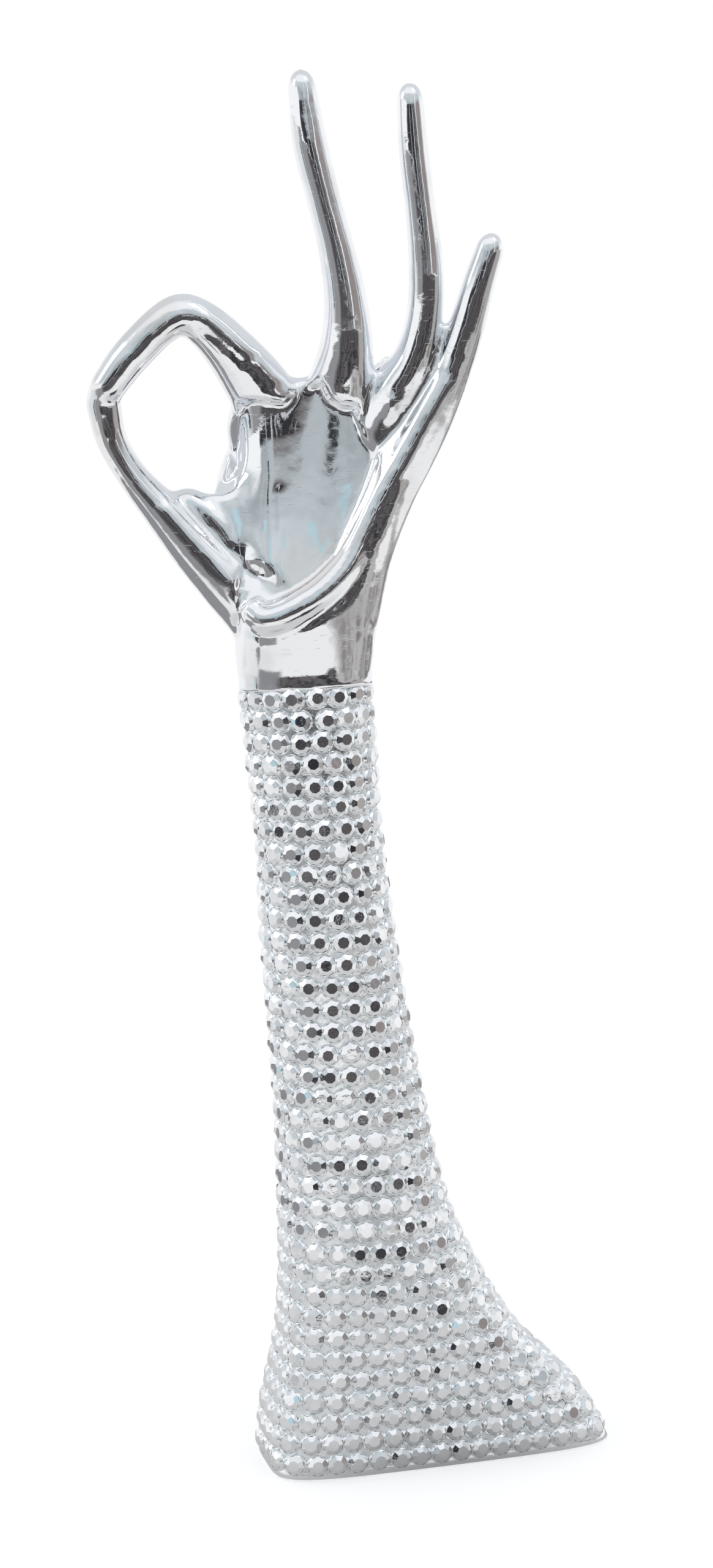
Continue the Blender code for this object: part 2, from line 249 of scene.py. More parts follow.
class SleeveSizes(bpy.types.PropertyGroup):
    height: FloatProperty(
        name="Height", description="From the table to the wrist", default=0.1708, unit="LENGTH"
    )
    foot_width: FloatProperty(
        name="Foot width", description="The foot's long side", default=0.0772, unit="LENGTH"
    )
    foot_depth: FloatProperty(
        name="Foot depth", description="The foot's short side", default=0.0276, unit="LENGTH"
    )
    cuff_width: FloatProperty(
        name="Cuff width", description="Across the sleeve's top", default=0.0274, unit="LENGTH"
    )
    cuff_depth: FloatProperty(
        name="Cuff depth", description="Front to back at the top", default=0.0214, unit="LENGTH"
    )
    cuff_offset: FloatProperty(
        name="Cuff offset", description="How far the arm leans from the foot's middle",
        default=-0.0281, unit="LENGTH",
    )
    rim_height: FloatProperty(
        name="Rim height", description="The smooth band at the foot", default=0.002, unit="LENGTH"
    )
    rings: IntProperty(name="Rings", description="Rings of the ground's mesh", default=300)
    sides: IntProperty(name="Sides", description="Sides of each ring", default=280)


class StudSizes(bpy.types.PropertyGroup):
    pitch: FloatProperty(
        name="Pitch", description="From stud to stud", default=0.00462, unit="LENGTH"
    )
    radius: FloatProperty(
        name="Radius", description="A stud's round skirt", default=0.00250, unit="LENGTH"
    )
    crown: FloatProperty(
        name="Crown", description="Radius where the facets start", default=0.00222, unit="LENGTH"
    )
    table: FloatProperty(
        name="Table", description="Radius of the flat top", default=0.00124, unit="LENGTH"
    )
    rise: FloatProperty(
        name="Rise", description="How proud a stud stands", default=0.00136, unit="LENGTH"
    )
    stray: FloatProperty(
        name="Stray", description="How far a stud sits out of line", default=0.00016, unit="LENGTH"
    )
    tilt: FloatProperty(
        name="Tilt", description="How far a stud leans at most", default=0.06, unit="ROTATION"
    )
    seed: IntProperty(name="Seed", description="Which scatter of small faults", default=7)


class HandSizes(bpy.types.PropertyGroup):
    turn: FloatProperty(
        name="Turn", description="The palm's turn to the left", default=math.radians(-17), unit="ROTATION"
    )
    grain: FloatProperty(
        name="Grain", description="Face size of the melted mesh, in mm", default=0.5
    )
    first_rounds: IntProperty(name="Melting", description="Smoothing before the folds", default=10)
    last_rounds: IntProperty(name="Polishing", description="Smoothing after the folds", default=8)


class Finishes(bpy.types.PropertyGroup):
    silver: FloatVectorProperty(
        name="Silver", description="The mirror plating", subtype="COLOR", size=4,
        default=(0.90, 0.91, 0.93, 1.0),
    )
    grey: FloatVectorProperty(
        name="Grey", description="Thin plating", subtype="COLOR", size=4,
        default=(0.74, 0.75, 0.76, 1.0),
    )
    warm: FloatVectorProperty(
        name="Warm", description="Faint brownish blush in the plating", subtype="COLOR", size=4,
        default=(0.84, 0.79, 0.76, 1.0),
    )
    ground: FloatVectorProperty(
        name="Ground", description="Satin plating between the studs", subtype="COLOR", size=4,
        default=(0.95, 0.97, 0.98, 1.0),
    )


class StageSizes(bpy.types.PropertyGroup):
    distance: FloatProperty(
        name="Distance", description="Camera to the foot's middle, level", default=0.70, unit="LENGTH"
    )
    height: FloatProperty(
        name="Camera height", description="Camera above the table", default=0.3042, unit="LENGTH"
    )
    azimuth: FloatProperty(
        name="Azimuth", description="Camera's turn round the stand", default=math.radians(-17),
        unit="ROTATION",
    )
    pitch: FloatProperty(
        name="Pitch", description="How far the camera looks down", default=math.radians(12.45),
        unit="ROTATION",
    )
    lens: FloatProperty(name="Lens", description="Focal length in mm", default=77.48)
    shift: FloatProperty(name="Shift", description="Sideways shift of the frame", default=-0.0498)


class StandSettings(bpy.types.PropertyGroup):
    sleeve: PointerProperty(type=SleeveSizes)
    studs: PointerProperty(type=StudSizes)
    hand: PointerProperty(type=HandSizes)
    finishes: PointerProperty(type=Finishes)
    stage: PointerProperty(type=StageSizes)


class Flow:
    """A node's socket that takes part in sums, so that 1 - flow adds its Math node."""

    def __init__(self, board, socket):
        self.board = board
        self.socket = socket

    def _math(self, operation, first, second):
        node = self.board.add("ShaderNodeMath", operation=operation)
        self.board.feed(node.inputs[0], first)
        self.board.feed(node.inputs[1], second)
        return Flow(self.board, node.outputs[0])

    def __add__(self, other):
        return self._math("ADD", self, other)

    def __radd__(self, other):
        return self._math("ADD", other, self)

    def __sub__(self, other):
        return self._math("SUBTRACT", self, other)

    def __rsub__(self, other):
        return self._math("SUBTRACT", other, self)

    def __mul__(self, other):
        return self._math("MULTIPLY", self, other)

    def __rmul__(self, other):
        return self._math("MULTIPLY", other, self)

    def __truediv__(self, other):
        return self._math("DIVIDE", self, other)


class Board:
    """A node tree being wired."""

    def __init__(self, tree):
        self.tree = tree

    def add(self, kind, **choices):
        node = self.tree.nodes.new(kind)
        for name, value in choices.items():
            setattr(node, name, value)
        return node

    def feed(self, socket, value):
        if isinstance(value, Flow):
            self.tree.links.new(value.socket, socket)
        elif isinstance(value, bpy.types.NodeSocket):
            self.tree.links.new(value, socket)
        else:
            socket.default_value = value

    def node(self, kind, choices=None, output=0, places=None, **sockets):
        """A node with its choices set first, then its sockets by place or name; gives one output."""
        node = self.add(kind, **(choices or {}))
        for place, value in (places or {}).items():
            self.feed(node.inputs[place], value)
        for name, value in sockets.items():
            self.feed(node.inputs[name.replace("_", " ")], value)
        return Flow(self, node.outputs[output])

    def noise(self, place, scale, detail=2.0, roughness=0.5):
        return self.node(
            "ShaderNodeTexNoise", Vector=place, Scale=scale, Detail=detail, Roughness=roughness
        )

    def ramp(self, value, low, high, start=0.0, end=1.0):
        """The value eased from start to end between low and high."""
        node = self.add("ShaderNodeMapRange", interpolation_type="SMOOTHSTEP")
        for socket, given in zip(node.inputs, (value, low, high, start, end)):
            self.feed(socket, given)
        return Flow(self, node.outputs[0])

    def between(self, value, low, high, soft):
        """One between low and high and nothing outside, softly."""
        falling = self.ramp(value, high - soft, high + soft, 1.0, 0.0)
        return self.ramp(value, low - soft, low + soft) * falling

    def mix(self, share, first, second):
        node = self.add("ShaderNodeMix", data_type="RGBA")
        self.feed(node.inputs[0], share)
        self.feed(node.inputs[6], first)
        self.feed(node.inputs[7], second)
        return Flow(self, node.outputs[2])

    def seen(self):
        """One for Light Path's camera, glossy and transmission rays."""
        rays = self.add("ShaderNodeLightPath").outputs
        camera, glossy, through = (Flow(self, rays[k]) for k in (0, 3, 6))
        return camera + glossy + through

    def stretch(self, place, scale, turn=(0.0, 0.0, 0.0)):
        return self.node("ShaderNodeMapping", Vector=place, Scale=scale, Rotation=turn)


def new_material(name, **constants):
    """A material's node board and its shader, with the constants set on the shader's sockets."""
    material = bpy.data.materials.new(name)
    material.use_nodes = True
    shader = material.node_tree.nodes["Principled BSDF"]
    for socket, value in constants.items():
        shader.inputs[socket.replace("_", " ")].default_value = value
    return material, Board(material.node_tree), shader


def mirror_plate():
    """Bright plating, a little wavy, thin and greyer in patches, with hairline scratches."""
    finish = settings().finishes
    material, board, shader = new_material("mirror_plate", Metallic=1.0)
    place = board.node("ShaderNodeTexCoord", output=3)
    clouds = board.noise(place, 70.0, 3.0, 0.6)
    blush = board.noise(place, 38.0, 2.0, 0.5)
    hair = board.noise(board.stretch(place, (260.0, 260.0, 3200.0), (0.4, 0.5, 0.2)), 1.0, 2.0)
    hairlines = board.ramp(hair, 0.68, 0.74)
    colour = board.mix(board.ramp(clouds, 0.50, 0.72, 0.0, 0.55), tuple(finish.silver), tuple(finish.grey))
    colour = board.mix(board.ramp(blush, 0.56, 0.70, 0.0, 0.5), colour, tuple(finish.warm))
    board.feed(shader.inputs["Base Color"], colour)
    rough = board.ramp(clouds, 0.42, 0.7, 0.035, 0.11) + hairlines * 0.10
    board.feed(shader.inputs["Roughness"], rough)
    waves = board.noise(place, 210.0, 1.5, 0.5)
    pits = board.noise(place, 1500.0, 2.0, 0.6)
    height = waves * 0.10 + pits * 0.006 - hairlines * 0.006
    bump = board.node("ShaderNodeBump", Height=height, Distance=0.001, Strength=1.0)
    board.feed(shader.inputs["Normal"], bump)
    return material


def stud_plate():
    """Mirror facets above, satin skirt below, by the stud's own crown attribute."""
    finish = settings().finishes
    material, board, shader = new_material("stud_plate", Metallic=1.0)
    place = board.node("ShaderNodeTexCoord", output=3)
    crown = board.node("ShaderNodeAttribute", {"attribute_name": "crown"}, output=2)
    patch = board.noise(place, 240.0, 2.0, 0.6)
    smudge = board.noise(place, 900.0, 3.0, 0.6)
    bright = board.mix(board.ramp(patch, 0.45, 0.7, 0.0, 0.5), tuple(finish.silver), tuple(finish.grey))
    board.feed(shader.inputs["Base Color"], board.mix(crown, tuple(finish.ground), bright))
    dull = board.ramp(smudge, 0.5, 0.75, 0.02, 0.10)
    board.feed(shader.inputs["Roughness"], dull * crown + (1 - crown) * 0.18)
    bump = board.node("ShaderNodeBump", Height=smudge * 0.012, Distance=0.001, Strength=1.0)
    board.feed(shader.inputs["Normal"], bump)
    return material


def satin_ground():
    """The pale plating pooled between the studs."""
    finish = settings().finishes
    material, board, shader = new_material("satin_ground", Metallic=1.0)
    place = board.node("ShaderNodeTexCoord", output=3)
    pools = board.noise(place, 420.0, 3.0, 0.6)
    board.feed(
        shader.inputs["Base Color"],
        board.mix(board.ramp(pools, 0.35, 0.7), tuple(finish.ground), tuple(finish.silver)),
    )
    board.feed(shader.inputs["Roughness"], board.ramp(pools, 0.3, 0.7, 0.14, 0.30))
    bump = board.node("ShaderNodeBump", Height=pools * 0.10, Distance=0.001, Strength=1.0)
    board.feed(shader.inputs["Normal"], bump)
    return material


def smooth_at(rows, key):
    """The row at this key, on a smooth curve through rows sorted by their first value."""
    last = len(rows) - 2
    k = min(max(sum(row[0] <= key for row in rows) - 1, 0), last)
    before, low, high, after = rows[max(k - 1, 0)], rows[k], rows[k + 1], rows[min(k + 2, last + 1)]
    span = high[0] - low[0]
    t = (key - low[0]) / span
    result = []
    for a, b, c, d in zip(before, low, high, after):
        start = (c - a) / (high[0] - before[0]) * span
        end = (d - b) / (after[0] - low[0]) * span
        smooth = t * t * (3 - 2 * t)
        result.append(b + (c - b) * smooth + start * t * (1 - t) ** 2 - end * t * t * (1 - t))
    return result


def power(value, exponent):
    return np.sign(value) * np.abs(value) ** exponent


def oval(count, half_width, half_depth, squareness):
    """Points of a superellipse, from the front's middle towards the right."""
    angle = np.linspace(0, 2 * math.pi, count, endpoint=False)
    across = half_width * power(np.sin(angle), 2 / squareness)
    return across, -half_depth * power(np.cos(angle), 2 / squareness)


def sleeve_sections():
    size = settings().sleeve
    foot = (0.0, 0.0, size.foot_width / MM, size.foot_depth / MM, FOOT_SQUARENESS, 0.0)
    turn = math.degrees(settings().hand.turn)
    cuff = (
        size.height / MM, size.cuff_offset / MM, size.cuff_width / MM, size.cuff_depth / MM, OVAL, turn,
    )
    return [foot, *SLEEVE_SECTIONS, cuff]


def outline_at(height, count):
    """The sleeve's ground at this height in mm, as evenly spaced points; tipped near the cuff."""
    size = settings()
    level = min(height, size.sleeve.height / MM)
    _, offset, width, depth, squareness, turn = smooth_at(sleeve_sections(), level)
    inset = np.interp(level, INSET_HEIGHTS, INSETS)
    x, y = oval(OUTLINE_POINTS, width / 2 - inset, depth / 2 - 0.5 * inset, squareness)
    x, y = np.append(x, x[0]), np.append(y, y[0])
    reach = np.concatenate([[0], np.cumsum(np.hypot(np.diff(x), np.diff(y)))])
    share = np.linspace(0, reach[-1], count, endpoint=False)
    x, y = np.interp(share, reach, x), np.interp(share, reach, y)
    c, s = math.cos(math.radians(turn)), math.sin(math.radians(turn))
    x, y = c * x - s * y, s * x + c * y
    c, s = math.cos(size.hand.turn), math.sin(size.hand.turn)
    lean_front, lean_right = (np.interp(level, LEAN_HEIGHTS, lean) for lean in (LEANS_FRONT, LEANS_RIGHT))
    up = height + lean_front * (s * x - c * y) + lean_right * (c * x + s * y)
    return np.stack([x + offset, y, up], axis=1)


def mesh_object(name, points, faces, material=None):
    data = bpy.data.meshes.new(name)
    data.from_pydata(points, [], faces)
    data.validate()
    obj = bpy.data.objects.new(name, data)
    bpy.context.scene.collection.objects.link(obj)
    if material is not None:
        data.materials.append(material)
    return obj


def lofted(rings):
    """Points and faces of a closed skin over rings of equal count, capped flat."""
    count = len(rings[0])
    points = np.concatenate(rings)
    faces = [tuple(reversed(range(count)))]
    for k in range(len(rings) - 1):
        for j in range(count):
            a, b = k * count + j, k * count + (j + 1) % count
            faces.append((a, b, b + count, a + count))
    faces.append(tuple(range(len(points) - count, len(points))))
    return points, faces


def finish_piece(obj):
    """A piece of the casting: rides on its body and stands for its solid."""
    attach(obj, BODY)
    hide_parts(CAD_NODE)


def plain_mesh(obj, name):
    """A new object with obj's evaluated mesh and no modifiers, in obj's place."""
    graph = bpy.context.evaluated_depsgraph_get()
    data = bpy.data.meshes.new_from_object(obj.evaluated_get(graph))
    bpy.data.objects.remove(obj)
    data.name = name
    result = bpy.data.objects.new(name, data)
    bpy.context.scene.collection.objects.link(result)
    return result


LIMB_SIDES = 36
LIMB_STEPS = 10
TIP_STEPS = 8
TIP_REACH = 1.4


def limb(rows, squareness=OVAL):
    """A rounded tube through the rows, flat-ended at its root and round at its tip."""
    stations = [(k, *row) for k, row in enumerate(rows)]
    count = (len(rows) - 1) * LIMB_STEPS
    path = np.array([smooth_at(stations, k / LIMB_STEPS)[1:] for k in range(count + 1)])
    centres = path[:, :3]
    along = np.gradient(centres, axis=0)
    along /= np.linalg.norm(along, axis=1)[:, None]
    rings = list(zip(centres, along, path[:, 3], path[:, 4]))
    centre, direction, half_width, half_depth = rings[-1]
    for k in range(1, TIP_STEPS + 1):
        angle = 0.5 * math.pi * k / (TIP_STEPS + 0.5)
        place = centre + direction * TIP_REACH * half_depth * math.sin(angle)
        size = math.cos(angle)
        rings.append((place, direction, half_width * size, half_depth * size))
    loops = []
    for place, direction, half_width, half_depth in rings:
        side = np.array([direction[1], -direction[0], 0.0])
        side /= np.linalg.norm(side)
        front = np.cross(side, direction)
        right, back = oval(LIMB_SIDES, half_width, half_depth, squareness)
        loops.append(place + right[:, None] * side - back[:, None] * front)
    return lofted(loops)


def melted_hand():
    """The limbs as one closed mesh, in mm, in the hand's own frame."""
    size = settings().hand
    points, faces = [], []
    limbs = [limb(PALM, PALM_SQUARENESS)]
    roll = [(across, up, front - radius, radius, radius) for across, up, front, radius in ROLL]
    for rows in (LITTLE_FINGER, RING_FINGER, MIDDLE_FINGER, FOREFINGER, THUMB, THUMB_WEB, roll):
        limbs.append(limb(rows))
    for more_points, more_faces in limbs:
        start = len(points)
        points.extend(more_points)
        faces.extend([tuple(start + k for k in face) for face in more_faces])
    obj = mesh_object("melted hand", points, faces)
    mesh = bmesh.new()
    mesh.from_mesh(obj.data)
    bmesh.ops.recalc_face_normals(mesh, faces=mesh.faces)
    mesh.to_mesh(obj.data)
    mesh.free()
    return melted(obj, size.first_rounds)


def melted(obj, rounds):
    """The object's mesh made anew with even faces, then smoothed for some rounds."""
    melt = obj.modifiers.new("melt", "REMESH")
    melt.mode = "VOXEL"
    melt.voxel_size = settings().hand.grain
    smooth = obj.modifiers.new("smooth", "SMOOTH")
    smooth.factor = 0.5
    smooth.iterations = rounds
    return plain_mesh(obj, "hand")


def points_of(obj):
    """The points of the object's mesh as rows of numbers."""
    points = np.empty(len(obj.data.vertices) * 3, np.float32)
    obj.data.vertices.foreach_get("co", points)
    return points.reshape(-1, 3).astype(float)


def move_points(obj, points):
    obj.data.vertices.foreach_set("co", points.reshape(-1).astype(np.float32))
    obj.data.update()


def line_distance(across, up, line):
    """How far each point lies from an open line of points."""
    nearest = np.full(len(across), 1e9)
    for (ax, ay), (bx, by) in zip(line, line[1:]):
        dx, dy = bx - ax, by - ay
        t = np.clip(((across - ax) * dx + (up - ay) * dy) / (dx * dx + dy * dy), 0, 1)
        nearest = np.minimum(nearest, np.hypot(across - ax - t * dx, up - ay - t * dy))
    return nearest


def inside_outline(across, up, outline):
    """Which points lie inside a closed outline."""
    inside = np.zeros(len(across), bool)
    for (ax, ay), (bx, by) in zip(outline, outline[1:] + outline[:1]):
        crosses = (ay > up) != (by > up)
        at = ax + (up - ay) * (bx - ax) / (by - ay if by != ay else 1e-9)
        inside ^= crosses & (across < at)
    return inside


def eased(value, low, high):
    t = np.clip((value - low) / (high - low), 0, 1)
    return t * t * (3 - 2 * t)


def blended(across, up, front, outline, surface):
    """The front taken over by another surface inside the outline, gently at its edge."""
    edge = line_distance(across, up, outline + outline[:1])
    width = np.interp(across, WALL_PLACES, WALL_WIDTHS) * np.interp(up, WALL_HEIGHTS, WALL_SHARES)
    share = inside_outline(across, up, outline) * (1 - np.exp(-((edge / width) ** 2)))
    return front + share * eased(front, BACK, FRONT) * (surface - front)


def draped_surface(across, up):
    """The front at each point of a soft sheet laid over PALM_FRONT."""
    columns = np.arange(PALM_ACROSS[0], PALM_ACROSS[-1], SHEET_STEP)
    heights = [height for height, _ in PALM_FRONT]
    rows = np.arange(heights[0], heights[-1], SHEET_STEP)
    sheet = np.array([np.interp(columns, PALM_ACROSS, fronts) for _, fronts in PALM_FRONT])
    sheet = np.array([np.interp(rows, heights, column) for column in sheet.T]).T
    reach = np.arange(-BLUR_REACH, BLUR_REACH + 1)
    kernel = np.exp(-0.5 * (reach * SHEET_STEP / SHEET_BLUR) ** 2)
    kernel /= kernel.sum()
    for _ in range(2):
        padded = np.pad(sheet, ((0, 0), (BLUR_REACH, BLUR_REACH)), mode="edge")
        sheet = np.array([np.convolve(row, kernel, "valid") for row in padded]).T
    x = np.clip((across - columns[0]) / SHEET_STEP, 0, len(columns) - 1.001)
    y = np.clip((up - rows[0]) / SHEET_STEP, 0, len(rows) - 1.001)
    j, k = x.astype(int), y.astype(int)
    x, y = x - j, y - k
    low = sheet[k, j] * (1 - x) + sheet[k, j + 1] * x
    high = sheet[k + 1, j] * (1 - x) + sheet[k + 1, j + 1] * x
    return low * (1 - y) + high * y


def swell_surface(across, up):
    """The wrist's front, rising to the palm's roll."""
    heights = [row[0] for row in WRIST_EDGES]
    right = np.interp(up, heights, [row[1] for row in WRIST_EDGES])
    left = np.interp(up, heights, [row[2] for row in WRIST_EDGES])
    share = np.clip(np.abs(across) / np.where(across > 0, right, left), 0, 0.999)
    wrist_front = WRIST_FRONT * (1 - share**PALM_SQUARENESS) ** (1 / PALM_SQUARENESS)
    crest_up = np.interp(across, [row[0] for row in ROLL], [row[1] for row in ROLL])
    crest_front = np.interp(across, [row[0] for row in ROLL], [row[2] for row in ROLL])
    rise = np.clip((up - SWELL_START) / (crest_up - SWELL_START), 0, 1) ** SWELL_BEND
    return wrist_front + rise * (crest_front - wrist_front)


def tuck_wrist(obj):
    """Draws the wrist in below the cuff's leaning edge, so that it stands inside the sleeve."""
    points = points_of(obj)
    across, up, front = points.T
    edge = CUFF_RISE - 0.1 + LEANS_FRONT[-1] * front + LEANS_RIGHT[-1] * across
    size = TUCKED + (1 - TUCKED) * eased(up, edge - 0.5, edge + 0.3)
    points[:, 0] *= size
    points[:, 2] *= size
    move_points(obj, points)


def press_folds(obj):
    """The palm's surfaces, then its ridges and creases, along the palm's front."""
    points = points_of(obj)
    normals = np.empty(points.size, np.float32)
    obj.data.vertices.foreach_get("normal", normals)
    facing = np.clip(normals.reshape(-1, 3)[:, 2] * FULL_PRESS, 0, 1)
    across, up, front = points.T
    pressed = blended(across, up, front, SWELL, swell_surface(across, up))
    pressed = blended(across, up, pressed, PALM_INSIDE, draped_surface(across, up))
    for line, width, rise in FOLDS:
        pressed = pressed + facing * rise * np.exp(-((line_distance(across, up, line) / width) ** 2))
    points[:, 2] = pressed
    move_points(obj, points)


def hand_place():
    """From the hand's frame in mm to the stand's frame in metres."""
    size = settings()
    across_up_front = Matrix(((1, 0, 0, 0), (0, 0, -1, 0), (0, 1, 0, 0), (0, 0, 0, 1)))
    turned = Matrix.Rotation(size.hand.turn, 4, "Z")
    placed = Matrix.Translation((size.sleeve.cuff_offset, 0, size.sleeve.height))
    return placed @ turned @ across_up_front @ Matrix.Scale(MM, 4)


class STAND_OT_cast_hand(bpy.types.Operator):
    """Casts the smooth hand from the wrist up"""

    bl_idname = "stand.cast_hand"
    bl_label = "Cast Hand"

    def execute(self, context):
        obj = melted_hand()
        press_folds(obj)
        obj = melted(obj, settings().hand.last_rounds)
        tuck_wrist(obj)
        obj.data.materials.append(mirror_plate())
        obj.data.transform(hand_place())
        obj.data.shade_smooth()
        finish_piece(obj)
        return {"FINISHED"}


def ground_rings():
    """The sleeve's ground from the underside to just inside the wrist, in mm."""
    size = settings().sleeve
    height, rim = size.height / MM, size.rim_height / MM
    levels = [(0.0, -0.9), (0.0, -0.2), (0.12, 0.1), (0.35, 0.3), (rim - 0.5, 0.4), (rim - 0.1, 0.25)]
    levels += [(up, 0.0) for up in np.linspace(rim + 0.2, height + CUFF_RISE, size.rings)]
    levels += [(height + CUFF_RISE + 0.3, -0.3), (height + CUFF_RISE + 0.4, -1.4)]
    rings = []
    for up, out in levels:
        ring = outline_at(up, size.sides)
        away = ring - ring.mean(axis=0)
        away[:, 2] = 0
        away /= np.linalg.norm(away, axis=1)[:, None]
        rings.append(ring + away * out)
    return rings


class STAND_OT_cast_sleeve(bpy.types.Operator):
    """Casts the sleeve's ground, with the smooth rim at its foot"""

    bl_idname = "stand.cast_sleeve"
    bl_label = "Cast Sleeve"

    def execute(self, context):
        points, faces = lofted(ground_rings())
        obj = mesh_object("sleeve_ground", points * MM, faces, satin_ground())
        obj.data.shade_smooth()
        finish_piece(obj)
        return {"FINISHED"}


# Places that a stud can take along its share of a row
FINE_STEPS = 24


def stud_rows():
    """The rows' heights in mm and the number of studs in each."""
    size = settings()
    pitch = size.studs.pitch / MM
    rows = []
    for row in range(ROWS[-1][0] + 1):
        height = np.interp(row, [key[0] for key in ROWS], [key[1] for key in ROWS])
        ring = outline_at(height, MEASURE_POINTS)
        around = np.linalg.norm(np.roll(ring, -1, axis=0) - ring, axis=1).sum()
        rows.append((height, round(around / pitch)))
    return rows


def row_points():
    """A point for each stud, with the wall's outward direction and the way along the row."""
    size = settings().studs
    scatter = np.random.default_rng(size.seed)
    places, outwards = [], []
    for height, count in stud_rows():
        fine = FINE_STEPS * count
        ring = outline_at(height, fine)
        above = outline_at(height + 0.5, fine)
        phase = scatter.uniform(0, 1)
        for k in range(count):
            share = (k + phase + scatter.normal(0, size.stray / size.pitch)) / count
            j = int(round(share * fine)) % fine
            along = ring[(j + 1) % fine] - ring[j - 1]
            outward = np.cross(along, above[j] - ring[j])
            outward /= np.linalg.norm(outward)
            outward[2] += np.interp(height, STUD_LEAN_HEIGHTS, STUD_LEANS)
            outwards.append(outward / np.linalg.norm(outward))
            places.append(ring[j] + np.array([0, 0, scatter.normal(0, 0.5 * size.stray / MM)]))
    return np.array(places), np.array(outwards)


class Garden(Board):
    """A geometry node tree being wired, with named inputs."""

    def __init__(self, name):
        super().__init__(bpy.data.node_groups.new(name, "GeometryNodeTree"))
        for way in ("INPUT", "OUTPUT"):
            self.tree.interface.new_socket("Geometry", in_out=way, socket_type="NodeSocketGeometry")
        self.start = self.add("NodeGroupInput")
        self.end = self.add("NodeGroupOutput")
        self.sockets = {}

    def input(self, name, kind="NodeSocketFloat"):
        socket = self.tree.interface.new_socket(name, in_out="INPUT", socket_type=kind)
        self.sockets[name] = socket.identifier
        return Flow(self, self.start.outputs[name])

    def random(self, low, high, seed):
        """A number between low and high for each point."""
        return self.node(
            "FunctionNodeRandomValue", {"data_type": "FLOAT"}, 1, {2: low, 3: high}, Seed=seed
        )


# A stud's shoulder as a share of its rise, and its depth in the ground in metres
SHOULDER = 0.56
SINK = 0.0004
# The skirt's top as a share of the crown, and its bulge
SKIRT_TOP = 0.98
SKIRT_BULGE = 0.42
# How far a stud turns on its own axis, and its smallest and largest size
SPIN = 0.2
SMALLEST, LARGEST = 0.95, 1.03


def faceted_stud(garden, radius, crown, table, rise):
    """One stud: eight facets and a flat top on a round, slightly bulging skirt."""
    shoulder = rise * SHOULDER
    facets = garden.node(
        "GeometryNodeMeshCone", {"fill_type": "NGON"},
        Vertices=8, Radius_Top=table, Radius_Bottom=crown, Depth=rise - shoulder,
    )
    lifted = garden.node("ShaderNodeCombineXYZ", Z=shoulder)
    facets = garden.node("GeometryNodeTransform", Geometry=facets, Translation=lifted)
    facets = garden.node(
        "GeometryNodeStoreNamedAttribute", {"data_type": "FLOAT", "domain": "POINT"},
        Geometry=facets, Name="crown", Value=1.0,
    )
    skirt = garden.node(
        "GeometryNodeMeshCone", {"fill_type": "NONE"}, Vertices=16, Side_Segments=3,
        Radius_Top=crown * SKIRT_TOP, Radius_Bottom=radius, Depth=shoulder + SINK,
    )
    skirt = garden.node("GeometryNodeTransform", Geometry=skirt, Translation=(0.0, 0.0, -SINK))
    place = garden.node("GeometryNodeInputPosition")
    share = (garden.node("ShaderNodeSeparateXYZ", None, 2, {0: place}) + SINK) / (shoulder + SINK)
    swell = share * (1 - share) * SKIRT_BULGE + 1.0
    outwards = garden.node("ShaderNodeCombineXYZ", X=swell, Y=swell, Z=1.0)
    swollen = garden.node("ShaderNodeVectorMath", {"operation": "MULTIPLY"}, 0, {0: place, 1: outwards})
    skirt = garden.node("GeometryNodeSetPosition", Geometry=skirt, Position=swollen)
    skirt = garden.node("GeometryNodeSetShadeSmooth", Geometry=skirt, Shade_Smooth=True)
    joined = garden.add("GeometryNodeJoinGeometry")
    for part in (facets, skirt):
        garden.feed(joined.inputs[0], part)
    return Flow(garden, joined.outputs[0])


def stud_tree():
    """Puts a faceted stud on every point, leaning a little, its crown marked."""
    garden = Garden("faceted_studs")
    stud = faceted_stud(garden, *(garden.input(name) for name in ("Radius", "Crown", "Table", "Rise")))
    tilt = garden.input("Tilt")
    seed = garden.input("Seed", "NodeSocketInt")
    material = garden.input("Material", "NodeSocketMaterial")
    outward = garden.node(
        "GeometryNodeInputNamedAttribute", {"data_type": "FLOAT_VECTOR"}, Name="outward"
    )
    upright = garden.node("FunctionNodeAlignRotationToVector", {"axis": "Z"}, Vector=outward)
    lean = garden.node(
        "FunctionNodeRandomValue", {"data_type": "FLOAT_VECTOR"},
        Min=(-1.0, -1.0, 0.0), Max=(1.0, 1.0, 0.0), Seed=seed,
    )
    lean = garden.node("ShaderNodeVectorMath", {"operation": "SCALE"}, 0, {0: lean}, Scale=tilt)
    spin = garden.node("ShaderNodeCombineXYZ", Z=garden.random(-SPIN, SPIN, seed + 3))
    turn = garden.node("ShaderNodeVectorMath", {"operation": "ADD"}, 0, {0: lean, 1: spin})
    turned = garden.node(
        "FunctionNodeRotateRotation", {"rotation_space": "LOCAL"}, 0,
        {0: upright, 1: garden.node("FunctionNodeEulerToRotation", None, 0, {0: turn})},
    )
    placed = garden.node(
        "GeometryNodeInstanceOnPoints", Points=Flow(garden, garden.start.outputs["Geometry"]),
        Instance=stud, Rotation=turned, Scale=garden.random(SMALLEST, LARGEST, seed + 5),
    )
    real = garden.node("GeometryNodeRealizeInstances", Geometry=placed)
    plated = garden.node("GeometryNodeSetMaterial", Geometry=real, Material=material)
    garden.feed(garden.end.inputs[0], plated)
    return garden


